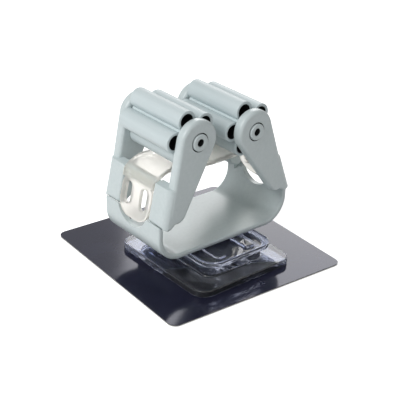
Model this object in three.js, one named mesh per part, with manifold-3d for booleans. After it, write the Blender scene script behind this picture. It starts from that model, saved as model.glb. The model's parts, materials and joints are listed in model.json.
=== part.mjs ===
// Self-adhesive broom holder: two sprung jaws with lobed rollers in a U-shaped cradle,
// which slides on a clear mount bonded to a square adhesive sheet.
// Millimetres, +Z up. The origin is the middle of the sheet's underside, handles lie along Y,
// and the wall is at Z = 0.
import * as THREE from 'three';
import { mergeVertices } from 'three/addons/utils/BufferGeometryUtils.js';
import Module from 'manifold-3d';

// Clearances
const SLIDE_CLEARANCE = 0.4;
const HINGE_CLEARANCE = 0.4;
const PIN_CLEARANCE = 0.25;
const SEAT_GAP = 0.3;

// Adhesive sheet
const SHEET_SIDE = 85;
const SHEET_CORNER = 3.4;
const SHEET_TURN = -3;
const ADHESIVE_THICKNESS = 0.4;
const FILM_THICKNESS = 0.3;

// Clear mount: plate, neck and flange with two rails
const MOUNT_OFFSET = -0.8;
const PLATE_WIDTH = 49;
const PLATE_FRONT = -33;
const PLATE_BACK = 21;
const PLATE_CORNER = 6;
const PLATE_THICKNESS = 3;
const PLATE_BEVEL = 1;
const NECK_WIDTH = 30;
const NECK_INSET = 3.5;
const NECK_HEIGHT = 5.8;
const NECK_CORNER = 4.5;
const FLANGE_WIDTH = 35;
const FLANGE_SETBACK = 3.6;
const FLANGE_CORNER = 7;
const FLANGE_THICKNESS = 2;
const FLANGE_RIM = 1.4;
const FLANGE_EDGE = 0.3;
const TRAY_DEPTH = 1.1;
const RAIL_SPACING = 15;
const RAIL_WIDTH = 5;
const RAIL_END_INSET = 2.6;
const STOP_WIDTH = 24;
const STOP_THICKNESS = 1.5;
const STOP_HEIGHT = 2.4;

// Cradle
const CRADLE_WIDTH = 66.7;
const CRADLE_LENGTH = 35;
const CRADLE_WALL = 2.2;
const CRADLE_CORNER = 11;
const CRADLE_EDGE = 0.4;
const ARCH_WIDTH = 19;
const ARCH_BOTTOM = 22.2;
const HOOK_WALL = 1.8;
const HOOK_REACH = 2.2;
const HOOK_FOOT = 1;
const HOOK_FRONT = -8;
const HOOK_BACK = 14;

// Hinges between cradle and jaws
const HINGE_HEIGHT = 29.4;
const HINGE_INSET = 0.7;
const WALL_DROP = 1;
const BARREL_RADIUS = 2.4;
const BARREL_LENGTH = 3.4;
const BARREL_INSET = 1.7;
const BARREL_FLOOR = 0.8;
const HINGE_PIN_RADIUS = 0.9;
const HINGE_PIN_LENGTH = 5.6;

// Jaws, drawn upright in a frame with its origin on the hinge axis and +X pointing inwards
const JAW_LENGTH = 40;
const ARM_THICKNESS = 4.6;
const ARM_EDGE = 1.2;
const ARM_FOOT_X = 4.6;
const ARM_FOOT_Z = 3.1;
const ARM_FOOT_RADIUS = 4.2;
const HEAD_X = 16.6;
const HEAD_Z = 29.6;
const HEAD_RADIUS = 8.6;
const CHEEK_ANGLE = 17.5;
const CHEEK_HEIGHT = 14.2;
const CHEEK_FOOT_THICKNESS = 6.6;
const CHEEK_TOP_THICKNESS = 3.6;
const CHEEK_EDGE = 1;
const CHEEK_INSET = 0.2;
const WEB_RECESS = 1.9;
const WEB_THICKNESS = 1.6;
const WEB_BOTTOM = 10;
const WEB_TOP = 13.6;
const LEFT_LEAN = -6;
const RIGHT_LEAN = 3.8;

// Rollers and their axles
const ROLLER_END_GAP = 0.3;
const ROLLER_LOBES = 5;
const LOBE_CIRCLE = 7.7;
const LOBE_RADIUS = 4.1;
const LOBE_BORE = 2.9;
const GROOVE_RADIUS = 6.6;
const ROLLER_EDGE = 0.3;
const AXLE_RADIUS = 1.25;
const AXLE_RECESS = 1.6;
const BUSH_WALL = 0.6;
const BUSH_OVERHANG = 0.3;
const PLUG_RADIUS = 3.4;
const PLUG_CLEARANCE = 0.45;
const PLUG_RECESS = 0.5;
const PLUG_EDGE = 0.35;

// Elastic band between the jaws
const BAND_WIDTH = 18;
const BAND_THICKNESS = 2.2;
const BAND_SAG = 1.4;
const BAND_TAB_BOTTOM = 2;
const BAND_STEPS = 56;

// Mesh fineness
const ROUND_STEPS = 28;
const ARC_STEPS = 10;
const CORNER_STEPS = 4;

const wasm = await Module();
wasm.setup();

// Heights and places that follow from the sizes above
const filmTop = ADHESIVE_THICKNESS + FILM_THICKNESS;
const plateTop = filmTop + PLATE_THICKNESS;
const flangeBottom = plateTop + NECK_HEIGHT;
const flangeTop = flangeBottom + FLANGE_THICKNESS;
const trayFloor = flangeTop - TRAY_DEPTH;
const flangeFront = PLATE_FRONT + FLANGE_SETBACK;
const cradleBottom = flangeTop + SLIDE_CLEARANCE;
const cradleBack = CRADLE_LENGTH / 2;
const stopFront = cradleBack + SLIDE_CLEARANCE;
const flangeBack = stopFront + STOP_THICKNESS;
const hingeX = CRADLE_WIDTH / 2 - HINGE_INSET - BARREL_RADIUS;
const wallTop = HINGE_HEIGHT - WALL_DROP;
const jawBack = JAW_LENGTH / 2;
const armInner = jawBack - ARM_THICKNESS;
const rollerHalf = armInner - ROLLER_END_GAP;
const archHalf = ARCH_WIDTH / 2;
const barrelFront = archHalf + BARREL_INSET;
const barrelBack = barrelFront + BARREL_LENGTH;
const cheekSlope = THREE.MathUtils.degToRad(CHEEK_ANGLE);

// Solids

function solidFrom(geometry) {
  const bare = geometry.clone();
  bare.deleteAttribute('normal');
  bare.deleteAttribute('uv');
  const merged = mergeVertices(bare, 1e-4);
  const mesh = new wasm.Mesh({
    numProp: 3,
    vertProperties: new Float32Array(merged.attributes.position.array),
    triVerts: new Uint32Array(merged.index.array),
  });
  return new wasm.Manifold(mesh);
}

function geometryFrom(solid) {
  const mesh = solid.getMesh();
  const geometry = new THREE.BufferGeometry();
  geometry.setAttribute('position', new THREE.BufferAttribute(new Float32Array(mesh.vertProperties), 3));
  geometry.setIndex(new THREE.BufferAttribute(new Uint32Array(mesh.triVerts), 1));
  geometry.computeVertexNormals();
  return geometry;
}

function joined(solids) {
  return solids.reduce((whole, next) => whole.add(next));
}

function cutBy(solid, tools) {
  return tools.reduce((rest, tool) => rest.subtract(tool), solid);
}

// Extrudes a shape between two heights, with an optional bevel on both ends.
function slab(shape, bottom, top, bevel = 0, steps = CORNER_STEPS) {
  const geometry = new THREE.ExtrudeGeometry(shape, {
    depth: top - bottom - 2 * bevel,
    bevelEnabled: bevel > 0,
    bevelThickness: bevel,
    bevelSize: bevel,
    bevelOffset: -bevel,
    bevelSegments: 2,
    curveSegments: steps,
  });
  geometry.translate(0, 0, bottom + bevel);
  return geometry;
}

// Extrudes a shape drawn in X and Z between two places on Y, given in either order.
function prism(shape, from, to, bevel = 0) {
  const geometry = slab(shape, -Math.max(from, to), -Math.min(from, to), bevel, ARC_STEPS);
  geometry.rotateX(Math.PI / 2);
  return geometry;
}

// Round bar along Y, between two places given in either order.
function rod(radius, from, to, x = 0, z = 0) {
  const geometry = new THREE.CylinderGeometry(radius, radius, Math.abs(to - from), ROUND_STEPS);
  geometry.translate(x, (from + to) / 2, z);
  return geometry;
}

function block(x0, x1, y0, y1, z0, z1) {
  const geometry = new THREE.BoxGeometry(x1 - x0, y1 - y0, z1 - z0);
  geometry.translate((x0 + x1) / 2, (y0 + y1) / 2, (z0 + z1) / 2);
  return geometry;
}

function roundedRectangle(x0, x1, y0, y1, radius) {
  const shape = new THREE.Shape();
  shape.absarc(x1 - radius, y0 + radius, radius, -Math.PI / 2, 0);
  shape.absarc(x1 - radius, y1 - radius, radius, 0, Math.PI / 2);
  shape.absarc(x0 + radius, y1 - radius, radius, Math.PI / 2, Math.PI);
  shape.absarc(x0 + radius, y0 + radius, radius, Math.PI, Math.PI * 1.5);
  shape.closePath();
  return shape;
}

function polygon(points) {
  return new THREE.Shape(points.map(([x, y]) => new THREE.Vector2(x, y)));
}

function piece(name, geometry, color, roughness, metalness = 0) {
  const material = new THREE.MeshStandardMaterial({ color, roughness, metalness });
  const mesh = new THREE.Mesh(geometry, material);
  mesh.name = name;
  return mesh;
}

// Adhesive sheet

function sheetLayer(bottom, top) {
  const half = SHEET_SIDE / 2;
  const layer = slab(roundedRectangle(-half, half, -half, half, SHEET_CORNER), bottom, top);
  layer.rotateZ(THREE.MathUtils.degToRad(SHEET_TURN));
  return layer;
}

// Clear mount

function clearMount() {
  const plateHalf = PLATE_WIDTH / 2;
  const neckHalf = NECK_WIDTH / 2;
  const flangeHalf = FLANGE_WIDTH / 2;
  const rimHalf = flangeHalf - FLANGE_RIM;
  const neckFront = flangeFront + NECK_INSET;
  const neckBack = flangeBack - NECK_INSET;
  const plate = roundedRectangle(-plateHalf, plateHalf, PLATE_FRONT, PLATE_BACK, PLATE_CORNER);
  const neck = roundedRectangle(-neckHalf, neckHalf, neckFront, neckBack, NECK_CORNER);
  const flange = roundedRectangle(-flangeHalf, flangeHalf, flangeFront, flangeBack, FLANGE_CORNER);
  const trayFront = flangeFront + FLANGE_RIM;
  const trayCorner = FLANGE_CORNER - FLANGE_RIM;
  const tray = roundedRectangle(-rimHalf, rimHalf, trayFront, stopFront, trayCorner);
  const overlap = PLATE_BEVEL;
  const solids = [
    solidFrom(slab(plate, filmTop, plateTop, PLATE_BEVEL)),
    solidFrom(slab(neck, plateTop - overlap, flangeBottom + FLANGE_EDGE)),
    solidFrom(slab(flange, flangeBottom, flangeTop, FLANGE_EDGE)),
  ];
  const hollowed = cutBy(joined(solids), [solidFrom(slab(tray, trayFloor, flangeTop + overlap))]);
  const railFront = trayFront + RAIL_END_INSET;
  const rails = [-1, 1].map((side) => {
    const middle = (side * RAIL_SPACING) / 2;
    const x0 = middle - RAIL_WIDTH / 2;
    const x1 = middle + RAIL_WIDTH / 2;
    const outline = roundedRectangle(x0, x1, railFront, stopFront + overlap, RAIL_WIDTH / 3);
    return solidFrom(slab(outline, trayFloor - overlap / 2, flangeTop));
  });
  const stopHalf = STOP_WIDTH / 2;
  const stopTop = flangeTop + STOP_HEIGHT;
  const stopBottom = flangeBottom + FLANGE_EDGE;
  const stop = solidFrom(block(-stopHalf, stopHalf, stopFront, flangeBack, stopBottom, stopTop));
  return geometryFrom(joined([hollowed, ...rails, stop]));
}

// Cradle

function cradleProfile() {
  const outer = CRADLE_WIDTH / 2;
  const inner = outer - CRADLE_WALL;
  const outerBend = CRADLE_CORNER;
  const innerBend = CRADLE_CORNER - CRADLE_WALL;
  const bendX = outer - outerBend;
  const bendZ = cradleBottom + outerBend;
  const shape = new THREE.Shape();
  shape.moveTo(-outer, wallTop);
  shape.absarc(-bendX, bendZ, outerBend, Math.PI, Math.PI * 1.5);
  shape.absarc(bendX, bendZ, outerBend, Math.PI * 1.5, Math.PI * 2);
  shape.lineTo(outer, wallTop);
  shape.lineTo(inner, wallTop);
  shape.absarc(bendX, bendZ, innerBend, 0, -Math.PI / 2, true);
  shape.absarc(-bendX, bendZ, innerBend, -Math.PI / 2, -Math.PI, true);
  shape.lineTo(-inner, wallTop);
  shape.closePath();
  return shape;
}

function hookProfile() {
  const inside = FLANGE_WIDTH / 2 + SLIDE_CLEARANCE;
  const outside = inside + HOOK_WALL;
  const footTop = flangeBottom - SLIDE_CLEARANCE;
  const footBottom = footTop - HOOK_FOOT;
  const root = cradleBottom + CRADLE_WALL / 2;
  return polygon([
    [outside, root],
    [inside, root],
    [inside, footTop],
    [inside - HOOK_REACH, footTop],
    [inside - HOOK_REACH, footBottom],
    [outside, footBottom],
  ].reverse());
}

function cradle() {
  const outer = CRADLE_WIDTH / 2;
  const body = solidFrom(prism(cradleProfile(), -cradleBack, cradleBack, CRADLE_EDGE));
  const hook = solidFrom(prism(hookProfile(), HOOK_FRONT, HOOK_BACK));
  const barrels = [];
  const cuts = [];
  for (const side of [-1, 1]) {
    const axis = side * hingeX;
    const wallMiddle = side * (outer - CRADLE_WALL / 2);
    const reach = CRADLE_WALL;
    const arch = new THREE.CylinderGeometry(archHalf, archHalf, 2 * reach, ROUND_STEPS);
    arch.rotateZ(Math.PI / 2);
    arch.translate(wallMiddle, 0, ARCH_BOTTOM + archHalf);
    cuts.push(solidFrom(arch));
    for (const end of [-1, 1]) {
      const mouth = end * (barrelBack + SEAT_GAP);
      const floor = end * (barrelFront + BARREL_FLOOR);
      const pinHole = rod(HINGE_PIN_RADIUS + PIN_CLEARANCE, floor, mouth, axis, HINGE_HEIGHT);
      const knuckleRoom = BARREL_RADIUS + HINGE_CLEARANCE;
      const innerRoom = rod(knuckleRoom, 0, end * barrelFront, axis, HINGE_HEIGHT);
      const outerRoom = rod(knuckleRoom, end * barrelBack, end * jawBack, axis, HINGE_HEIGHT);
      barrels.push(solidFrom(rod(BARREL_RADIUS, end * barrelFront, end * barrelBack, axis, HINGE_HEIGHT)));
      cuts.push(solidFrom(pinHole), solidFrom(innerRoom), solidFrom(outerRoom));
    }
  }
  const whole = joined([body, hook, hook.mirror([1, 0, 0]), ...barrels]);
  return geometryFrom(cutBy(whole, cuts));
}

// Jaws

// Outline round two circles, in X and Z.
function taperedLink(lowX, lowZ, lowRadius, highX, highZ, highRadius) {
  const length = Math.hypot(highX - lowX, highZ - lowZ);
  const along = Math.atan2(highZ - lowZ, highX - lowX);
  const spread = Math.acos((lowRadius - highRadius) / length);
  const shape = new THREE.Shape();
  shape.absarc(highX, highZ, highRadius, along - spread, along + spread);
  shape.absarc(lowX, lowZ, lowRadius, along + spread, along - spread + Math.PI * 2);
  shape.closePath();
  return shape;
}

// Point on a jaw's cheek: a height above the hinge and a depth below its outer face,
// which runs tangent to the hinge barrel.
function cheekPoint(height, depth) {
  const rise = height - BARREL_RADIUS * Math.sin(cheekSlope);
  const faceX = -BARREL_RADIUS * Math.cos(cheekSlope) + rise * Math.tan(cheekSlope);
  return [faceX + depth / Math.cos(cheekSlope), height];
}

// Cheek of a jaw, with the hinge knuckle as the outer part of its lower end.
function cheekOutline() {
  const [footX, footZ] = cheekPoint(0, CHEEK_FOOT_THICKNESS);
  const [waistX, waistZ] = cheekPoint(ARM_FOOT_Z, CHEEK_FOOT_THICKNESS);
  const [innerX, innerZ] = cheekPoint(CHEEK_HEIGHT, CHEEK_TOP_THICKNESS);
  const [outerX, outerZ] = cheekPoint(CHEEK_HEIGHT, 0);
  const shape = new THREE.Shape();
  shape.absarc(0, 0, BARREL_RADIUS, Math.PI - cheekSlope, Math.PI * 1.75);
  shape.lineTo(footX, footZ);
  shape.lineTo(waistX, waistZ);
  shape.lineTo(innerX, innerZ);
  shape.lineTo(outerX, outerZ);
  shape.closePath();
  return shape;
}

function webOutline() {
  return polygon([
    cheekPoint(WEB_BOTTOM, WEB_RECESS),
    cheekPoint(WEB_BOTTOM, WEB_RECESS + WEB_THICKNESS),
    cheekPoint(WEB_TOP, WEB_RECESS + WEB_THICKNESS),
    cheekPoint(WEB_TOP, WEB_RECESS),
  ]);
}

function jaw() {
  const armOutline = taperedLink(ARM_FOOT_X, ARM_FOOT_Z, ARM_FOOT_RADIUS, HEAD_X, HEAD_Z, HEAD_RADIUS);
  const arm = solidFrom(prism(armOutline, -jawBack, -armInner, ARM_EDGE));
  const cheekFront = -jawBack + CHEEK_INSET;
  const cheek = solidFrom(prism(cheekOutline(), cheekFront, -archHalf, CHEEK_EDGE));
  const half = joined([arm, cheek]);
  const web = solidFrom(prism(webOutline(), -archHalf - 2 * CHEEK_EDGE, archHalf + 2 * CHEEK_EDGE));
  const whole = joined([half, half.mirror([0, 1, 0]), web]);
  const cuts = [];
  for (const end of [-1, 1]) {
    const inside = end * (barrelFront - SEAT_GAP);
    const outside = end * (barrelBack + SEAT_GAP);
    const pinEnd = end * (barrelFront + BARREL_FLOOR + HINGE_PIN_LENGTH + 2 * SEAT_GAP);
    const plugRoom = PLUG_RADIUS + PLUG_CLEARANCE;
    cuts.push(solidFrom(rod(BARREL_RADIUS + HINGE_CLEARANCE, inside, outside)));
    cuts.push(solidFrom(rod(HINGE_PIN_RADIUS + PIN_CLEARANCE, inside, pinEnd)));
    cuts.push(solidFrom(rod(plugRoom, end * barrelBack, end * JAW_LENGTH, HEAD_X, HEAD_Z)));
  }
  return geometryFrom(cutBy(whole, cuts));
}

// Rollers

function rollerOutline() {
  const shape = new THREE.Shape();
  const pitch = (Math.PI * 2) / ROLLER_LOBES;
  const nearSquare = LOBE_CIRCLE ** 2 + GROOVE_RADIUS ** 2 - LOBE_RADIUS ** 2;
  const meet = Math.acos(nearSquare / (2 * LOBE_CIRCLE * GROOVE_RADIUS));
  const sweep = Math.atan2(GROOVE_RADIUS * Math.sin(meet), GROOVE_RADIUS * Math.cos(meet) - LOBE_CIRCLE);
  for (let lobe = 0; lobe < ROLLER_LOBES; lobe += 1) {
    const turn = lobe * pitch;
    const x = LOBE_CIRCLE * Math.cos(turn);
    const y = LOBE_CIRCLE * Math.sin(turn);
    shape.absarc(x, y, LOBE_RADIUS, turn - sweep, turn + sweep);
    const groove = turn + pitch - meet;
    shape.lineTo(GROOVE_RADIUS * Math.cos(groove), GROOVE_RADIUS * Math.sin(groove));
    const bore = new THREE.Path();
    bore.absarc(x, y, LOBE_BORE, 0, Math.PI * 2, true);
    shape.holes.push(bore);
  }
  shape.closePath();
  const seat = new THREE.Path();
  seat.absarc(0, 0, AXLE_RADIUS + PIN_CLEARANCE + BUSH_WALL + PIN_CLEARANCE, 0, Math.PI * 2, true);
  shape.holes.push(seat);
  return shape;
}

function roller() {
  return prism(rollerOutline(), -rollerHalf, rollerHalf, ROLLER_EDGE);
}

function tube(inner, outer, from, to, edge = 0) {
  const shape = new THREE.Shape();
  shape.absarc(0, 0, outer, 0, Math.PI * 2);
  const bore = new THREE.Path();
  bore.absarc(0, 0, inner, 0, Math.PI * 2, true);
  shape.holes.push(bore);
  return prism(shape, from, to, edge);
}

// Elastic band

// Turns a point of a leaning jaw, drawn upright, into X and Z of the holder.
function jawPoint(side, lean, [x, z]) {
  const turn = THREE.MathUtils.degToRad(lean);
  const turnedX = x * Math.cos(turn) + z * Math.sin(turn);
  const turnedZ = z * Math.cos(turn) - x * Math.sin(turn);
  return new THREE.Vector2(side * (turnedX - hingeX), HINGE_HEIGHT + turnedZ);
}

// Middle line of the band's tab outside a jaw's web, from its lower end to the fold over the web.
function tabLine(side, lean) {
  const outside = WEB_RECESS - SEAT_GAP - BAND_THICKNESS / 2;
  const inside = WEB_RECESS + WEB_THICKNESS + SEAT_GAP + BAND_THICKNESS / 2;
  const middle = (outside + inside) / 2;
  const foldTop = WEB_TOP + SEAT_GAP + BAND_THICKNESS / 2;
  const points = [
    cheekPoint(BAND_TAB_BOTTOM, outside),
    cheekPoint((BAND_TAB_BOTTOM + WEB_TOP) / 2, outside),
    cheekPoint(WEB_TOP - BAND_THICKNESS / 4, outside),
    cheekPoint(foldTop, middle),
  ];
  return points.map((point) => jawPoint(side, lean, point));
}

function bandGeometry(leftLean, rightLean) {
  const left = tabLine(1, leftLean);
  const right = tabLine(-1, rightLean);
  const middle = new THREE.Vector2().addVectors(left.at(-1), right.at(-1)).multiplyScalar(0.5);
  middle.y -= BAND_SAG;
  const line = new THREE.SplineCurve([...left, middle, ...right.reverse()]);
  const inner = [];
  const outer = [];
  for (let step = 0; step <= BAND_STEPS; step += 1) {
    const at = line.getPointAt(step / BAND_STEPS);
    const along = line.getTangentAt(step / BAND_STEPS);
    const across = new THREE.Vector2(-along.y, along.x).multiplyScalar(BAND_THICKNESS / 2);
    outer.push(at.clone().add(across));
    inner.push(at.clone().sub(across));
  }
  const outline = new THREE.Shape([...inner, ...outer.reverse()]);
  return prism(outline, -BAND_WIDTH / 2, BAND_WIDTH / 2);
}

// Colours
const GREY_GREEN = 0xcdd6d4;
const LOBE_GREY = 0xcfd9db;
const PLUG_GREY = 0xc9d2d1;
const MILKY = 0xece6dc;
const CLEAR = 0xb9bcc8;
const FILM_BLUE = 0x3a3c4c;
const GLUE = 0xd8d8d4;
const STEEL = 0x8c8f92;

// Assembly
const holder = new THREE.Group();
holder.add(piece('adhesive_layer', sheetLayer(0, ADHESIVE_THICKNESS), GLUE, 0.6));
holder.add(piece('backing_film', sheetLayer(ADHESIVE_THICKNESS, filmTop), FILM_BLUE, 0.1));

const upper = new THREE.Group();
upper.position.x = MOUNT_OFFSET;
holder.add(upper);
upper.add(piece('clear_mount', clearMount(), CLEAR, 0.05));
upper.add(piece('cradle', cradle(), GREY_GREEN, 0.35));

const plugInner = rollerHalf + BUSH_OVERHANG + SEAT_GAP;
const axleEnd = jawBack - AXLE_RECESS;
const axleRoom = AXLE_RADIUS + PIN_CLEARANCE;
const sides = [
  { name: 'left', turn: 0, lean: LEFT_LEAN, lobes: 180 / ROLLER_LOBES },
  { name: 'right', turn: Math.PI, lean: RIGHT_LEAN, lobes: 0 },
];
for (const side of sides) {
  const half = new THREE.Group();
  half.rotation.z = side.turn;
  upper.add(half);

  const hinge = new THREE.Group();
  hinge.position.set(-hingeX, 0, HINGE_HEIGHT);
  half.add(hinge);
  const ends = side.turn === 0 ? { front: -1, back: 1 } : { front: 1, back: -1 };
  for (const [label, end] of Object.entries(ends)) {
    const near = end * (barrelFront + BARREL_FLOOR + SEAT_GAP);
    const far = near + end * HINGE_PIN_LENGTH;
    const pin = rod(HINGE_PIN_RADIUS, near, far);
    hinge.add(piece(`hinge_pin_${side.name}_${label}`, pin, STEEL, 0.3, 1));
  }

  const swing = new THREE.Group();
  swing.rotation.y = THREE.MathUtils.degToRad(side.lean);
  hinge.add(swing);
  swing.add(piece(`jaw_${side.name}`, jaw(), GREY_GREEN, 0.35));

  const axis = new THREE.Group();
  axis.position.set(HEAD_X, 0, HEAD_Z);
  swing.add(axis);
  axis.add(piece(`axle_${side.name}`, rod(AXLE_RADIUS, -axleEnd, axleEnd), STEEL, 0.3, 1));
  for (const [label, end] of Object.entries(ends)) {
    const near = end * plugInner;
    const far = end * (jawBack - PLUG_RECESS);
    const plug = tube(axleRoom, PLUG_RADIUS, near, far, PLUG_EDGE);
    axis.add(piece(`axle_plug_${side.name}_${label}`, plug, PLUG_GREY, 0.4));
  }

  const spin = new THREE.Group();
  spin.rotation.y = THREE.MathUtils.degToRad(-side.lobes - side.lean);
  axis.add(spin);
  const bushEnd = rollerHalf + BUSH_OVERHANG;
  const bush = tube(axleRoom, axleRoom + BUSH_WALL, -bushEnd, bushEnd);
  spin.add(piece(`roller_bush_${side.name}`, bush, STEEL, 0.5));
  spin.add(piece(`roller_${side.name}`, roller(), LOBE_GREY, 0.55));
}
upper.add(piece('elastic_band', bandGeometry(sides[0].lean, sides[1].lean), MILKY, 0.3));

export default holder;
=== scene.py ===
"""Looks of a self-adhesive broom holder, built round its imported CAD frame.

Sizes are in millimetres, as in the part's source, and meshes are in metres.
"""
import json
import math

import bmesh
import bpy
from mathutils import Matrix, Vector


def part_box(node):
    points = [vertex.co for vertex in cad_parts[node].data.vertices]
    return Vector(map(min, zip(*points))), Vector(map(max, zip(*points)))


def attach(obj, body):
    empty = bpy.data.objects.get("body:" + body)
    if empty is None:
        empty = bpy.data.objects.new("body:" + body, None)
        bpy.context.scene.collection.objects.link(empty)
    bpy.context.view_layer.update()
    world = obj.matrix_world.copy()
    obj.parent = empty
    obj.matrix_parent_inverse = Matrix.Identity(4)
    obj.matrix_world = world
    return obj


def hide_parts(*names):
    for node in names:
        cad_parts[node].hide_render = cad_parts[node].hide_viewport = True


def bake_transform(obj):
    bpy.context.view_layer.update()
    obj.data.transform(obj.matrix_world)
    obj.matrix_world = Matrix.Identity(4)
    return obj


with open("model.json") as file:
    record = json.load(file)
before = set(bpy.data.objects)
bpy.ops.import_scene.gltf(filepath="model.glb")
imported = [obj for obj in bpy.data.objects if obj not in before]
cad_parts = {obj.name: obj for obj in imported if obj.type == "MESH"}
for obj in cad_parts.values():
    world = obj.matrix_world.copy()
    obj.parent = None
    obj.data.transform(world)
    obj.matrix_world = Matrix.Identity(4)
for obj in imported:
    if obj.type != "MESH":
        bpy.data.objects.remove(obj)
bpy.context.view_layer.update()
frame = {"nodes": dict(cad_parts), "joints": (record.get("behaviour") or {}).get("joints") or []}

MM = 0.001
MERGE_DISTANCE = MM / 1000
SIDES = ("left", "right")
ENDS = ("front", "back")

# Camera, for a 400 x 400 frame
CAMERA_PLACE = (-246.4, -287.3, 216.6)
CAMERA_AZIMUTH = 40.68
CAMERA_DIP = 27.07
CAMERA_ROLL = 2.2
CAMERA_SENSOR = 36
CAMERA_LENS = 93.5

# Light and floor, in metres and watts
LAMP_TARGET = (0, 0, 0.03)
KEY_PLACE = (-0.56, -0.02, 0.52)
KEY_SIZE = 0.42
KEY_POWER = 3.6
RIM_PLACE = (0.515, 0.464, 0.4)
RIM_SIZE = 0.35
RIM_POWER = 1.5
WORLD_FILL = 0.3
FLOOR_HALF = 3
FLOOR_DROP = 0.0002
FLOOR_GLOW = 0.72

# Clearances
SLIDE_CLEARANCE = 0.4
HINGE_CLEARANCE = 0.4
PIN_CLEARANCE = 0.25
SEAT_GAP = 0.3
CUT_OVER = 1

# Clear mount
PLATE_CORNER = 6
PLATE_THICKNESS = 3
PLATE_EDGE = 0.6
NECK_WIDTH = 30
NECK_INSET = 3.5
NECK_HEIGHT = 5.8
NECK_CORNER = 4.5
NECK_FLARE = 0.7
FLANGE_WIDTH = 35
FLANGE_SETBACK = 3.6
FLANGE_CORNER = 7
FLANGE_THICKNESS = 2
FLANGE_RIM = 1.4
FLANGE_EDGE = 0.6
TRAY_DEPTH = 1.1
RAIL_SPACING = 15
RAIL_WIDTH = 5
RAIL_END_INSET = 2.6
RAIL_CORNER = RAIL_WIDTH / 3
RAIL_EDGE = 0.4
STOP_WIDTH = 24
STOP_THICKNESS = 1.5
STOP_HEIGHT = 2.4

# Cradle
CRADLE_WALL = 2.2
CRADLE_CORNER = 11
CRADLE_EDGE = 0.8
ARCH_WIDTH = 19
ARCH_BOTTOM = 22.2
HOOK_WALL = 1.8
HOOK_REACH = 2.2
HOOK_FOOT = 1
HOOK_FRONT = -8
HOOK_BACK = 14

# Hinges: barrels on the cradle, each on a narrow neck with a foot, turn in knuckles of the jaws
WALL_DROP = 1
BARREL_RADIUS = 1.6
BARREL_LENGTH = 3.4
BARREL_INSET = 1.7
BARREL_FLOOR = 0.8
BARREL_NECK = 0.7
BARREL_FOOT = 2.2
BARREL_FOOT_THICKNESS = 1.3
KNUCKLE_RADIUS = 2.4
KNUCKLE_END = 315
KNUCKLE_BORE = 1.95
KNUCKLE_SLOT = (-2, 1.3)
KNUCKLE_SLOT_MARGIN = 0.05
HINGE_PIN_RADIUS = 0.9
HINGE_PIN_LENGTH = 5.6

# Jaws, drawn upright with the origin on the hinge axis and +X pointing inwards
ARM_THICKNESS = 4.6
ARM_EDGE = 1.5
ARM_FOOT = (4.6, 3.1)
ARM_FOOT_RADIUS = 4.2
HEAD = (16.6, 29.6)
HEAD_RADIUS = 8.6
CHEEK_ANGLE = 17.5
CHEEK_HEIGHT = 14.2
CHEEK_FOOT_THICKNESS = 6.6
CHEEK_TOP_THICKNESS = 3.6
CHEEK_EDGE = 1
CHEEK_INSET = 0.2
CORNER_FILLET = 3
WEB_RECESS = 1.9
WEB_THICKNESS = 1.6
WEB_BOTTOM = 10
WEB_TOP = 13.6

# Rollers and axles
ROLLER_LOBES = 5
LOBE_CIRCLE = 7.7
LOBE_RADIUS = 4.1
LOBE_BORE = 2.9
GROOVE_RADIUS = 6.6
ROLLER_EDGE = 0.35
AXLE_RADIUS = 1.25
AXLE_EDGE = 0.2
BUSH_WALL = 0.6
PLUG_RADIUS = 3.4
PLUG_CLEARANCE = 0.45
PLUG_EDGE = 0.45
PLUG_PROUD = 1.2

# Elastic band
BAND_WIDTH = 18.8
BAND_THICKNESS = 2.2
BAND_EDGE = 0.7
BAND_SAG = 1.4
BAND_HUMP = (7, 0.9)
BAND_GIVE = 1.7
BAND_STEPS = 16
TAB_HALF = 9.1
TAB_BOTTOM = -4
TAB_TOP = 13.6
TAB_CORNER = 6.4
TAB_LAP = 3
TAB_THICKNESS = 1.8
TAB_EDGE = 0.5
SLOT_MIDDLE = 4.8
SLOT_WIDTH = 3.8
SLOT_CORNER = SLOT_WIDTH / 2.1
SLOT_BOTTOM = 1
SLOT_TOP = 9.8

# Mesh fineness
ARC_STEPS = 24
ROUND_STEPS = 64
EDGE_STEPS = 4
SHARP_ANGLE = 38
BORE_TILT = 0.5

# Grain of the materials
NOISE_DETAIL = 5
NOISE_STOPS = (0.3, 0.7)

# Places that follow from the frame
joint_places = {j["name"]: Vector(j["pos_m"]) / MM for j in frame["joints"] if "pos_m" in j}
hinges = {side: joint_places[f"jaw_{side}_hinge"] for side in SIDES}
heads = {side: joint_places[f"roller_{side}_spin"] for side in SIDES}
turns = {"left": 0, "right": math.pi}
lobe_turns = {"left": 180 / ROLLER_LOBES, "right": 0}


def node_box(node):
    """Lowest and highest corner of a CAD node, in millimetres."""
    low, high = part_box(node)
    return low / MM, high / MM


cradle_low, cradle_high = node_box("cradle")
mount_low, mount_high = node_box("clear_mount")
film_top = node_box("backing_film")[1].z
jaw_high = node_box("jaw_left")[1]
roller_low, roller_high = node_box("roller_left")
axle_low, axle_high = node_box("axle_left")

middle_x = (cradle_low.x + cradle_high.x) / 2
cradle_half = (cradle_high.x - cradle_low.x) / 2
cradle_back = cradle_high.y
plate_top = film_top + PLATE_THICKNESS
flange_bottom = plate_top + NECK_HEIGHT
flange_top = flange_bottom + FLANGE_THICKNESS
tray_floor = flange_top - TRAY_DEPTH
cradle_bottom = flange_top + SLIDE_CLEARANCE
hinge_height = hinges["left"].z
hinge_x = hinges["right"].x - middle_x
wall_top = hinge_height - WALL_DROP
jaw_back = jaw_high.y
arm_inner = jaw_back - ARM_THICKNESS
arch_half = ARCH_WIDTH / 2
barrel_front = arch_half + BARREL_INSET
barrel_back = barrel_front + BARREL_LENGTH
slope = math.radians(CHEEK_ANGLE)


# Outlines

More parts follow.
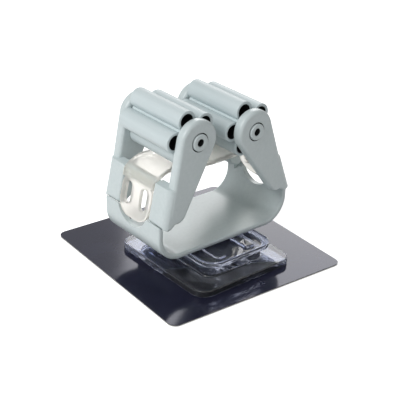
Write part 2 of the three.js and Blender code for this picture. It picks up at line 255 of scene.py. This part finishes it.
def arc(x, y, radius, start, end, steps=ARC_STEPS):
    """Points along an arc, its angles in degrees."""
    angles = [math.radians(start + (end - start) * i / steps) for i in range(steps + 1)]
    return [(x + radius * math.cos(a), y + radius * math.sin(a)) for a in angles]


def circle(x, y, radius):
    return arc(x, y, radius, 0, 360, ROUND_STEPS)[:-1]


def rounded_rectangle(x0, x1, y0, y1, corner, inset=0):
    radius = corner - inset
    left, right = x0 + corner, x1 - corner
    front, back = y0 + corner, y1 - corner
    quarters = [(right, front, -90), (right, back, 0), (left, back, 90), (left, front, 180)]
    return [point for x, y, start in quarters for point in arc(x, y, radius, start, start + 90)]


def tapered_link(low, low_radius, high, high_radius):
    """Outline round two circles."""
    along = math.degrees(math.atan2(high[1] - low[1], high[0] - low[0]))
    spread = math.degrees(math.acos((low_radius - high_radius) / math.dist(low, high)))
    top = arc(*high, high_radius, along - spread, along + spread)
    return top + arc(*low, low_radius, along + spread, along - spread + 360)


# Meshes

def new_object(name, data):
    made = bpy.data.objects.new(name, data)
    bpy.context.scene.collection.objects.link(made)
    return made


def evaluated_mesh(shape):
    return bpy.data.meshes.new_from_object(shape.evaluated_get(bpy.context.evaluated_depsgraph_get()))


def solid_from(bm):
    bmesh.ops.remove_doubles(bm, verts=bm.verts, dist=MERGE_DISTANCE)
    bmesh.ops.recalc_face_normals(bm, faces=bm.faces)
    mesh = bpy.data.meshes.new("solid")
    bm.to_mesh(mesh)
    bm.free()
    return new_object("solid", mesh)


def extrusion(outlines, low, high, edge=0, upright=True):
    """Outline with any holes, extruded with rounded edges: drawn in X and Z and run along Y,
    or drawn in X and Y and run along Z. Holes are wound the other way."""
    curve = bpy.data.curves.new("outline", "CURVE")
    curve.dimensions = "2D"
    curve.fill_mode = "BOTH"
    curve.extrude = ((high - low) / 2 - edge) * MM
    curve.bevel_depth = edge * MM
    curve.bevel_resolution = EDGE_STEPS
    curve.offset = -edge * MM
    for points in outlines:
        spline = curve.splines.new("POLY")
        spline.points.add(len(points) - 1)
        spline.use_cyclic_u = True
        for place, (x, y) in zip(spline.points, points):
            place.co = (x * MM, y * MM, 0, 1)
    drawn = new_object("outline", curve)
    bm = bmesh.new()
    bm.from_mesh(evaluated_mesh(drawn))
    bpy.data.objects.remove(drawn)
    middle = (low + high) / 2 * MM
    if upright:
        bm.transform(Matrix.Translation((0, middle, 0)) @ Matrix.Rotation(math.pi / 2, 4, "X"))
    else:
        bm.transform(Matrix.Translation((0, 0, middle)))
    return solid_from(bm)


def loft(rings):
    """Solid through closed rings of points."""
    bm = bmesh.new()
    loops = [[bm.verts.new(Vector(point) * MM) for point in ring] for ring in rings]
    for low, high in zip(loops, loops[1:]):
        for i in range(len(low)):
            bm.faces.new((low[i - 1], low[i], high[i], high[i - 1]))
    bm.faces.new(loops[0])
    bm.faces.new(loops[-1])
    return solid_from(bm)


def rounded_slab(x0, x1, y0, y1, corner, low, high, edge):
    """Slab with round corners and rounded edges above and below."""
    quarter = arc(0, 0, edge, 0, 90, EDGE_STEPS)
    levels = [(low + edge - rise, edge - run) for run, rise in reversed(quarter)]
    levels += [(high - edge + rise, edge - run) for run, rise in quarter]
    return loft([
        [(x, y, z) for x, y in rounded_rectangle(x0, x1, y0, y1, corner, inset)]
        for z, inset in levels
    ])


def rod(radius, start, end, x=0, z=0, edge=0):
    return extrusion([circle(x, z, radius)], min(start, end), max(start, end), edge)


def combine(base, operation, tools):
    """Applies a boolean with each tool in turn to the base, and removes the tools."""
    for tool in tools:
        step = base.modifiers.new("step", "BOOLEAN")
        step.operation = operation
        step.solver = "EXACT"
        step.object = tool
        mesh = evaluated_mesh(base)
        base.modifiers.clear()
        base.data = mesh
        bpy.data.objects.remove(tool)
    return base


def moved(shape, matrix):
    shape.data.transform(matrix)
    return shape


def mirrored(shape, axis):
    """Copy of a shape, mirrored on one axis."""
    twin = new_object("solid", shape.data.copy())
    twin.data.transform(Matrix.Scale(-1, 4, axis))
    twin.data.flip_normals()
    return twin


def soften(shape):
    """Smooth shading that keeps flat faces flat and real edges sharp."""
    shape.data.shade_smooth()
    shape.data.set_sharp_from_angle(angle=math.radians(SHARP_ANGLE))
    normals = shape.modifiers.new("normals", "WEIGHTED_NORMAL")
    normals.keep_sharp = True


def paint_bore_shade(shape, axes, radius):
    """Marks the walls of bores along Y for the second material, a painted shade that stands in for the
    shadow deep inside the bores.
    """
    for face in shape.data.polygons:
        place = (face.center.x / MM, face.center.z / MM)
        if abs(face.normal.y) < BORE_TILT and any(math.dist(place, axis) < radius for axis in axes):
            face.material_index = 1
    return shape


def finish_piece(shape, name, finish, nodes, body=None):
    """Names a piece, gives it its materials, attaches it to its body if one is given, and hides the CAD
    nodes it stands in for.
    """
    shape.name = name
    shape.data.name = name
    shape.data.materials.append(finish)
    # Faces marked on bore walls get the second material: painted shade standing in for the shadow inside the
    # bores.
    if any(face.material_index for face in shape.data.polygons):
        shape.data.materials.append(painted_bore_shade)
    soften(shape)
    if body:
        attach(shape, body)
    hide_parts(*nodes)


# Materials

def linear(rgb):
    """Linear colour from sRGB values of 0 to 255."""
    parts = [c / 255 for c in rgb]
    return [c / 12.92 if c <= 0.04045 else ((c + 0.055) / 1.055) ** 2.4 for c in parts] + [1]


def surface(name, dark, light, grain, roughness, relief, stretch=(1, 1, 1), **fixed):
    """Material whose colour, roughness and relief vary with a noise of the given grain."""
    material = bpy.data.materials.new(name)
    material.use_nodes = True
    nodes = material.node_tree.nodes
    link = material.node_tree.links.new
    shader = nodes["Principled BSDF"]
    place = nodes.new("ShaderNodeTexCoord")
    mapping = nodes.new("ShaderNodeMapping")
    mapping.inputs["Scale"].default_value = stretch
    link(place.outputs["Object"], mapping.inputs["Vector"])
    noise = nodes.new("ShaderNodeTexNoise")
    noise.inputs["Scale"].default_value = 1 / (grain * MM)
    noise.inputs["Detail"].default_value = NOISE_DETAIL
    link(mapping.outputs["Vector"], noise.inputs["Vector"])
    ramp = nodes.new("ShaderNodeValToRGB")
    for stop, position, rgb in zip(ramp.color_ramp.elements, NOISE_STOPS, (dark, light)):
        stop.position = position
        stop.color = linear(rgb)
    link(noise.outputs["Fac"], ramp.inputs["Fac"])
    link(ramp.outputs["Color"], shader.inputs["Base Color"])
    gloss = nodes.new("ShaderNodeMapRange")
    gloss.inputs["To Min"].default_value = roughness[0]
    gloss.inputs["To Max"].default_value = roughness[1]
    link(noise.outputs["Fac"], gloss.inputs["Value"])
    link(gloss.outputs["Result"], shader.inputs["Roughness"])
    bump = nodes.new("ShaderNodeBump")
    bump.inputs["Strength"].default_value = 1
    bump.inputs["Distance"].default_value = relief * MM
    link(noise.outputs["Fac"], bump.inputs["Height"])
    link(bump.outputs["Normal"], shader.inputs["Normal"])
    for socket, value in fixed.items():
        shader.inputs[socket.replace("_", " ")].default_value = value
    return material


body_plastic = surface(
    "body_plastic", (194, 205, 206), (200, 210, 211), 1.4, (0.26, 0.36), 0.006,
)
roller_rubber = surface(
    "roller_rubber", (194, 206, 208), (201, 212, 214), 2, (0.38, 0.5), 0.012, (1, 0.06, 1),
)
band_rubber = surface(
    "band_rubber", (236, 234, 228), (244, 242, 237), 5, (0.28, 0.38), 0.02,
    Transmission_Weight=0.8, IOR=1.25,
)
clear_plastic = surface(
    "clear_plastic", (220, 227, 248), (229, 235, 252), 9, (0.03, 0.05), 0.001,
    Transmission_Weight=0.965, IOR=1.4,
)
film_plastic = surface(
    "film_plastic", (30, 31, 48), (36, 37, 55), 14, (0.09, 0.13), 0.004, IOR=1.36,
    Specular_Tint=(0.82, 0.83, 1, 1),
)
adhesive_gel = surface(
    "adhesive_gel", (206, 206, 200), (220, 220, 214), 2, (0.35, 0.5), 0.02,
    Transmission_Weight=0.4,
)
steel = surface(
    "steel", (128, 131, 134), (168, 170, 172), 0.5, (0.25, 0.4), 0.004, (1, 0.04, 1), Metallic=1,
)
# Painted shade: a near-black colour put on bore walls to stand in for the shadow deep inside them, not the
# plastic's own colour.
painted_bore_shade = surface(
    "painted_bore_shade", (26, 28, 29), (36, 38, 39), 1, (0.5, 0.65), 0.01,
)
bush_plastic = surface(
    "bush_plastic", (74, 76, 78), (90, 92, 94), 1, (0.4, 0.55), 0.01,
)


# Clear mount

def neck_rings(x0, x1, y0, y1):
    """Neck of the mount, which flares out where it meets plate and flange."""
    flare = [(NECK_FLARE - rise, NECK_FLARE - run) for run, rise in arc(0, 0, NECK_FLARE, 0, 90, EDGE_STEPS)]
    levels = [(plate_top - PLATE_EDGE, -NECK_FLARE)]
    levels += [(plate_top + spread, -out) for out, spread in flare]
    levels += [(flange_bottom - spread, -out) for out, spread in reversed(flare)]
    levels += [(flange_bottom + FLANGE_EDGE, -NECK_FLARE)]
    return [
        [(x, y, z) for x, y in rounded_rectangle(x0, x1, y0, y1, NECK_CORNER, inset)]
        for z, inset in levels
    ]


def clear_mount():
    """Plate, neck and flange with its tray, rails and end stop."""
    front, back = mount_low.y, mount_high.y
    stop_front = cradle_back + SLIDE_CLEARANCE
    flange_front = front + FLANGE_SETBACK
    flange_back = stop_front + STOP_THICKNESS
    tray_front = flange_front + FLANGE_RIM
    flange_half = FLANGE_WIDTH / 2
    neck_half = NECK_WIDTH / 2
    plate_half = (mount_high.x - mount_low.x) / 2
    plate = rounded_slab(-plate_half, plate_half, front, back, PLATE_CORNER, film_top, plate_top, PLATE_EDGE)
    neck = loft(neck_rings(-neck_half, neck_half, flange_front + NECK_INSET, flange_back - NECK_INSET))
    flange = rounded_slab(
        -flange_half, flange_half, flange_front, flange_back, FLANGE_CORNER,
        flange_bottom, flange_top, FLANGE_EDGE,
    )
    tray_half = flange_half - FLANGE_RIM
    tray = rounded_slab(
        -tray_half, tray_half, tray_front, stop_front, FLANGE_CORNER - FLANGE_RIM,
        tray_floor, flange_top + 2 * CUT_OVER, RAIL_EDGE,
    )
    rails = []
    for side in (-1, 1):
        x = side * RAIL_SPACING / 2
        rails.append(rounded_slab(
            x - RAIL_WIDTH / 2, x + RAIL_WIDTH / 2, tray_front + RAIL_END_INSET, stop_front + CUT_OVER,
            RAIL_CORNER, tray_floor - CUT_OVER, flange_top, RAIL_EDGE,
        ))
    stop = rounded_slab(
        -STOP_WIDTH / 2, STOP_WIDTH / 2, stop_front, flange_back, STOP_THICKNESS / 2,
        flange_bottom + FLANGE_EDGE, flange_top + STOP_HEIGHT, RAIL_EDGE,
    )
    whole = combine(combine(plate, "UNION", [neck, flange]), "DIFFERENCE", [tray])
    whole = combine(whole, "UNION", rails + [stop])
    return moved(whole, Matrix.Translation((middle_x * MM, 0, 0)))


# Cradle

def cradle_profile():
    """U of the cradle, seen from the front."""
    inner = cradle_half - CRADLE_WALL
    inner_bend = CRADLE_CORNER - CRADLE_WALL
    x, z = cradle_half - CRADLE_CORNER, cradle_bottom + CRADLE_CORNER
    outside = [(-cradle_half, wall_top)] + arc(-x, z, CRADLE_CORNER, 180, 270)
    outside += arc(x, z, CRADLE_CORNER, 270, 360) + [(cradle_half, wall_top)]
    inside = [(inner, wall_top)] + arc(x, z, inner_bend, 0, -90)
    inside += arc(-x, z, inner_bend, -90, -180) + [(-inner, wall_top)]
    return outside + inside


def hook_profile():
    """Hook under the cradle's floor that grips the mount's flange from below."""
    inside = FLANGE_WIDTH / 2 + SLIDE_CLEARANCE
    outside = inside + HOOK_WALL
    foot_top = flange_bottom - SLIDE_CLEARANCE
    foot_bottom = foot_top - HOOK_FOOT
    root = cradle_bottom + CRADLE_WALL / 2
    return [
        (outside, root), (inside, root), (inside, foot_top), (inside - HOOK_REACH, foot_top),
        (inside - HOOK_REACH, foot_bottom), (outside, foot_bottom),
    ][::-1]


def cradle():
    """U with hooks below, arches in its walls and four hinge barrels."""
    body = extrusion([cradle_profile()], -cradle_back, cradle_back, CRADLE_EDGE)
    hook = extrusion([hook_profile()], HOOK_FRONT, HOOK_BACK)
    body = combine(body, "UNION", [mirrored(hook, (1, 0, 0)), hook])
    added = []
    cuts = []
    room = KNUCKLE_RADIUS + HINGE_CLEARANCE
    for side in (-1, 1):
        x = side * hinge_x
        wall = side * (cradle_half - CRADLE_WALL / 2)
        arch = rod(arch_half, -2 * CRADLE_WALL, 2 * CRADLE_WALL)
        place = Matrix.Translation((wall * MM, 0, (ARCH_BOTTOM + arch_half) * MM))
        cuts.append(moved(arch, place @ Matrix.Rotation(math.pi / 2, 4, "Z")))
        cuts.append(rod(room, -jaw_back, jaw_back, x, hinge_height))
        foot_top = hinge_height - room - SEAT_GAP / 2
        foot_bottom = foot_top - BARREL_FOOT_THICKNESS
        inside, outside, foot = [x + side * out for out in (-BARREL_NECK, BARREL_NECK, BARREL_FOOT)]
        neck = [
            (inside, hinge_height), (inside, foot_bottom), (foot, foot_bottom),
            (foot, foot_top), (outside, foot_top), (outside, hinge_height),
        ]
        for end in (-1, 1):
            start, stop = sorted((end * barrel_front, end * barrel_back))
            barrel = rod(BARREL_RADIUS, start, stop, x, hinge_height)
            barrel = combine(barrel, "UNION", [extrusion([neck], start, stop)])
            bottom, mouth = end * (barrel_front + BARREL_FLOOR), end * (barrel_back + SEAT_GAP)
            hole = rod(HINGE_PIN_RADIUS + PIN_CLEARANCE, bottom, mouth, x, hinge_height)
            added.append(combine(barrel, "DIFFERENCE", [hole]))
    whole = combine(combine(body, "DIFFERENCE", cuts), "UNION", added)
    return moved(whole, Matrix.Translation((middle_x * MM, 0, 0)))


# Jaws

def jaw_matrix(side):
    """Turns a jaw drawn upright to its place and lean."""
    reach = heads[side] - hinges[side]
    across = abs(reach.x)
    lean = math.atan2(across, reach.z) - math.atan2(*HEAD)
    place = Matrix.Translation(hinges[side] * MM)
    return place @ Matrix.Rotation(turns[side], 4, "Z") @ Matrix.Rotation(lean, 4, "Y")


def cheek_point(height, depth):
    """Point on a cheek: a height above the hinge and a depth below the outer face."""
    rise = height - KNUCKLE_RADIUS * math.sin(slope)
    face = -KNUCKLE_RADIUS * math.cos(slope) + rise * math.tan(slope)
    return (face + depth / math.cos(slope), height)


def cheek_outline():
    """Wedge from the knuckle round the hinge up to the cheek's top."""
    knuckle = arc(0, 0, KNUCKLE_RADIUS, 180 - CHEEK_ANGLE, KNUCKLE_END)
    return knuckle + [
        cheek_point(0, CHEEK_FOOT_THICKNESS),
        cheek_point(ARM_FOOT[1], CHEEK_FOOT_THICKNESS),
        cheek_point(CHEEK_HEIGHT, CHEEK_TOP_THICKNESS),
        cheek_point(CHEEK_HEIGHT, 0),
    ]


def corner_cutter():
    """Cuts the fillet on the upright corner between a cheek's outer face and the arm's front."""
    size, over = CORNER_FILLET, CUT_OVER
    section = [(-over, -over), (size, -over)] + arc(size, size, size, 270, 180) + [(-over, size)]
    rings = []
    for height in (-KNUCKLE_RADIUS - over, CHEEK_HEIGHT + over):
        ring = []
        for depth, run in section:
            x, z = cheek_point(height, depth)
            ring.append((x, run - jaw_back, z))
        rings.append(ring)
    return loft(rings)


def jaw():
    """Two arms with their cheeks, the web between them, and the cuts for hinges and plugs."""
    link = tapered_link(ARM_FOOT, ARM_FOOT_RADIUS, HEAD, HEAD_RADIUS)
    arm = extrusion([link], -jaw_back, -arm_inner, ARM_EDGE)
    cheek = extrusion([cheek_outline()], -jaw_back + CHEEK_INSET, -arch_half, CHEEK_EDGE)
    half = combine(combine(arm, "UNION", [cheek]), "DIFFERENCE", [corner_cutter()])
    web_outline = [
        cheek_point(WEB_BOTTOM, WEB_RECESS),
        cheek_point(WEB_BOTTOM, WEB_RECESS + WEB_THICKNESS),
        cheek_point(WEB_TOP, WEB_RECESS + WEB_THICKNESS),
        cheek_point(WEB_TOP, WEB_RECESS),
    ]
    web_end = arch_half + 2 * CHEEK_EDGE
    web = extrusion([web_outline], -web_end, web_end)
    cuts = []
    below = -2 * KNUCKLE_RADIUS
    slot_outer, slot_inner = KNUCKLE_SLOT
    slot = [(slot_outer, 0), (slot_outer, below), (slot_inner, below), (slot_inner, 0)]
    for end in (-1, 1):
        inside = end * (barrel_front - SEAT_GAP)
        outside = end * (barrel_back + SEAT_GAP)
        pin_end = end * (barrel_front + BARREL_FLOOR + HINGE_PIN_LENGTH + 2 * SEAT_GAP)
        slot_front, slot_back = sorted((inside, outside))
        cuts.append(rod(KNUCKLE_BORE, inside, outside))
        cuts.append(extrusion([slot], slot_front - KNUCKLE_SLOT_MARGIN, slot_back + KNUCKLE_SLOT_MARGIN))
        cuts.append(rod(HINGE_PIN_RADIUS + PIN_CLEARANCE, (inside + outside) / 2, pin_end))
        plug_end = end * (jaw_back + 2 * CUT_OVER)
        cuts.append(rod(PLUG_RADIUS + PLUG_CLEARANCE, end * barrel_back, plug_end, *HEAD))
    whole = combine(half, "UNION", [mirrored(half, (0, 1, 0)), web])
    # The walls of the plug rooms get painted shade, standing in for the shadow in the gap round each plug.
    return paint_bore_shade(combine(whole, "DIFFERENCE", cuts), [HEAD], PLUG_RADIUS + PLUG_CLEARANCE)


# Rollers

def roller_outline():
    """Round lobes with straight groove floors and their bores, and the places of the bores."""
    pitch = 360 / ROLLER_LOBES
    near = LOBE_CIRCLE ** 2 + GROOVE_RADIUS ** 2 - LOBE_RADIUS ** 2
    meet = math.acos(near / (2 * LOBE_CIRCLE * GROOVE_RADIUS))
    meet_out = GROOVE_RADIUS * math.cos(meet) - LOBE_CIRCLE
    sweep = math.degrees(math.atan2(GROOVE_RADIUS * math.sin(meet), meet_out))
    outline, bores, places = [], [], []
    for lobe in range(ROLLER_LOBES):
        turn = lobe * pitch
        x = LOBE_CIRCLE * math.cos(math.radians(turn))
        y = LOBE_CIRCLE * math.sin(math.radians(turn))
        outline += arc(x, y, LOBE_RADIUS, turn - sweep, turn + sweep)
        bores.append(circle(x, y, LOBE_BORE)[::-1])
        places.append((x, y))
    seat = circle(0, 0, AXLE_RADIUS + BUSH_WALL + 2 * PIN_CLEARANCE)[::-1]
    return [outline, seat] + bores, places


def roller():
    """Lobed roller about its axle, with painted shade on the walls of its bores."""
    outlines, bores = roller_outline()
    # The walls of the lobe bores get painted shade, standing in for the shadow inside them.
    return paint_bore_shade(extrusion(outlines, roller_low.y, roller_high.y, ROLLER_EDGE), bores, LOBE_BORE)


def at_head(shape, side, lobe_turn=0):
    """Moves a shape drawn about the axle to a jaw's head."""
    place = Matrix.Translation(heads[side] * MM) @ Matrix.Rotation(turns[side], 4, "Z")
    return moved(shape, place @ Matrix.Rotation(math.radians(-lobe_turn), 4, "Y"))


# Elastic band

def band_points(side):
    """Middle line of the band's half, from the lap on its tab over the fold to its hump."""
    outside = WEB_RECESS - SEAT_GAP - BAND_THICKNESS / 2
    inside = WEB_RECESS + WEB_THICKNESS + SEAT_GAP + BAND_THICKNESS / 2
    fold_top = WEB_TOP + SEAT_GAP + BAND_THICKNESS / 2
    fold = cheek_point(fold_top, (outside + inside) / 2)
    points = [
        cheek_point(TAB_TOP - TAB_LAP, outside),
        cheek_point(WEB_TOP - BAND_THICKNESS / 4, outside),
        fold,
        (fold[0] + BAND_HUMP[0], fold[1] + BAND_HUMP[1]),
    ]
    matrix = jaw_matrix(side)
    return [matrix @ Vector((x * MM, 0, z * MM)) / MM for x, z in points]


def band_tab(side):
    """Flat tab outside a jaw's web, with two slots and a rounded lower end."""
    outside = WEB_RECESS - SEAT_GAP - TAB_THICKNESS / 2
    outlines = [rounded_rectangle(-TAB_HALF, TAB_HALF, TAB_BOTTOM, TAB_TOP, TAB_CORNER)]
    for middle in (-SLOT_MIDDLE, SLOT_MIDDLE):
        left, right = middle - SLOT_WIDTH / 2, middle + SLOT_WIDTH / 2
        outlines.append(rounded_rectangle(left, right, SLOT_BOTTOM, SLOT_TOP, SLOT_CORNER)[::-1])
    tab = extrusion(outlines, -TAB_THICKNESS / 2, TAB_THICKNESS / 2, TAB_EDGE, upright=False)
    x, z = cheek_point(0, outside)
    across, up = Vector((0, 1, 0)), Vector((math.sin(slope), 0, math.cos(slope)))
    stand = Matrix((across, up, across.cross(up))).transposed().to_4x4()
    return moved(tab, jaw_matrix(side) @ Matrix.Translation((x * MM, 0, z * MM)) @ stand)


def smooth_line(points, steps):
    """Catmull-Rom curve through points, with its ends led out straight."""
    led = [2 * points[0] - points[1]] + points + [2 * points[-1] - points[-2]]
    line = []
    for a, b, c, d in zip(led, led[1:], led[2:], led[3:]):
        for i in range(steps):
            t = i / steps
            line.append(0.5 * (
                2 * b + (c - a) * t + (2 * a - 5 * b + 4 * c - d) * t ** 2
                + (3 * b - a - 3 * c + d) * t ** 3
            ))
    return line + [points[-1]]


def band_half(side):
    """Half of the band with its tab, and two places on its middle line: the fold, and a point part of the
    way from the fold towards the hump.
    """
    left, right = band_points("left"), band_points("right")
    middle = (left[-1] + right[-1]) / 2 - Vector((0, 0, BAND_SAG))
    line = smooth_line(left + [middle] + right[::-1], BAND_STEPS)
    centre = len(line) // 2
    line = line[:centre + 1] if side == "left" else line[centre:]
    half, thick = BAND_WIDTH / 2, BAND_THICKNESS / 2
    section = rounded_rectangle(-half, half, -thick, thick, BAND_EDGE)
    rings = []
    for i, point in enumerate(line):
        along = line[min(i + 1, len(line) - 1)] - line[max(i - 1, 0)]
        across = Vector((-along.z, 0, along.x)).normalized()
        rings.append([point + across * rise + Vector((0, run, 0)) for run, rise in section])
    whole = combine(loft(rings), "UNION", [band_tab(side)])
    fold, hump = (left if side == "left" else right)[-2:]
    return whole, fold, fold + BAND_GIVE * (hump - fold)


# Assembly
finish_piece(clear_mount(), "mount_clear", clear_plastic, ["clear_mount"], "base")
finish_piece(cradle(), "cradle_moulding", body_plastic, ["cradle"], "cradle")

right_jaw = jaw()
for side in SIDES:
    shape = right_jaw if side == "right" else new_object("solid", right_jaw.data.copy())
    moved(shape, jaw_matrix(side))
    finish_piece(shape, f"jaw_moulding_{side}", body_plastic, [f"jaw_{side}"], f"jaw_{side}")

    lobes = at_head(roller(), side, lobe_turns[side])
    finish_piece(
        lobes, f"roller_lobes_{side}", roller_rubber, [f"roller_{side}"], f"roller_{side}",
    )

    axle = at_head(rod(AXLE_RADIUS, axle_low.y, axle_high.y, edge=AXLE_EDGE), side)
    finish_piece(axle, f"axle_pin_{side}", steel, [f"axle_{side}"], f"jaw_{side}")

    for end in ENDS:
        node = f"axle_plug_{side}_{end}"
        low, high = node_box(node)
        rings = [circle(0, 0, PLUG_RADIUS), circle(0, 0, AXLE_RADIUS + PIN_CLEARANCE)[::-1]]
        if end == "front":
            low.y -= PLUG_PROUD
        else:
            high.y += PLUG_PROUD
        plug = extrusion(rings, low.y, high.y, PLUG_EDGE)
        # The wall of the plug's axle hole gets painted shade, standing in for the shadow inside the hole.
        paint_bore_shade(plug, [(0, 0)], AXLE_RADIUS + PIN_CLEARANCE)
        moved(plug, Matrix.Translation((heads[side].x * MM, 0, heads[side].z * MM)))
        finish_piece(plug, f"plug_{side}_{end}", body_plastic, [node], f"jaw_{side}")

    strip, fold, held = band_half(side)
    finish_piece(strip, f"band_{side}", band_rubber, ["elastic_band"])
    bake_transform(strip)

carried = {"backing_film": film_plastic, "adhesive_layer": adhesive_gel}
for side in SIDES:
    carried[f"roller_bush_{side}"] = bush_plastic
    for end in ENDS:
        carried[f"hinge_pin_{side}_{end}"] = steel
for node, finish in carried.items():
    shape = frame["nodes"][node]
    shape.data.materials.clear()
    shape.data.materials.append(finish)
    weld = shape.modifiers.new("weld", "WELD")
    weld.merge_threshold = MERGE_DISTANCE


# Stage, light and camera

def lamp(name, place, size, power):
    """Square lamp that faces the holder."""
    light = bpy.data.lights.new(name, "AREA")
    light.size = size
    light.energy = power
    shape = new_object(name, light)
    shape.location = place
    shape.rotation_euler = (Vector(LAMP_TARGET) - shape.location).to_track_quat("-Z", "Y").to_euler()


def seen_white(tree):
    """Socket that is 1 for rays that show the white background: camera, mirror and glass rays."""
    path = tree.nodes.new("ShaderNodeLightPath")
    total = path.outputs["Is Camera Ray"]
    for ray in ("Is Glossy Ray", "Is Transmission Ray"):
        larger = tree.nodes.new("ShaderNodeMath")
        larger.operation = "MAXIMUM"
        tree.links.new(total, larger.inputs[0])
        tree.links.new(path.outputs[ray], larger.inputs[1])
        total = larger.outputs[0]
    return total


world = bpy.data.worlds.new("studio")
world.use_nodes = True
bpy.context.scene.world = world
tree = world.node_tree
background = tree.nodes["Background"]
background.inputs["Color"].default_value = (1, 1, 1, 1)
level = tree.nodes.new("ShaderNodeMapRange")
level.inputs["To Min"].default_value = WORLD_FILL
level.inputs["To Max"].default_value = 1
tree.links.new(seen_white(tree), level.inputs["Value"])
tree.links.new(level.outputs["Result"], background.inputs["Strength"])

floor_mesh = bpy.data.meshes.new("floor")
corners = [(x * FLOOR_HALF, y * FLOOR_HALF, 0) for x, y in ((-1, -1), (1, -1), (1, 1), (-1, 1))]
floor_mesh.from_pydata(corners, [], [(0, 1, 2, 3)])
floor = new_object("floor", floor_mesh)
floor.location.z = -FLOOR_DROP
floor_mesh.materials.append(surface("floor_paper", (232, 232, 232), (236, 236, 236), 30, (0.7, 0.9), 0.05))
tree = floor_mesh.materials[0].node_tree
shader = tree.nodes["Principled BSDF"]
shader.inputs["Emission Color"].default_value = (1, 1, 1, 1)
glow = tree.nodes.new("ShaderNodeMapRange")
glow.inputs["To Max"].default_value = FLOOR_GLOW
tree.links.new(seen_white(tree), glow.inputs["Value"])
tree.links.new(glow.outputs["Result"], shader.inputs["Emission Strength"])

lamp("key", KEY_PLACE, KEY_SIZE, KEY_POWER)
lamp("rim", RIM_PLACE, RIM_SIZE, RIM_POWER)

scene = bpy.context.scene
scene.view_settings.view_transform = "Standard"
camera_data = bpy.data.cameras.new("camera")
camera_data.sensor_width = CAMERA_SENSOR
camera_data.lens = CAMERA_LENS
camera = new_object("camera", camera_data)
turn = Matrix.Rotation(math.radians(-CAMERA_AZIMUTH), 4, "Z")
dip = Matrix.Rotation(math.radians(90 - CAMERA_DIP), 4, "X")
roll = Matrix.Rotation(math.radians(CAMERA_ROLL), 4, "Z")
camera.matrix_world = Matrix.Translation(Vector(CAMERA_PLACE) * MM) @ turn @ dip @ roll
scene.camera = camera
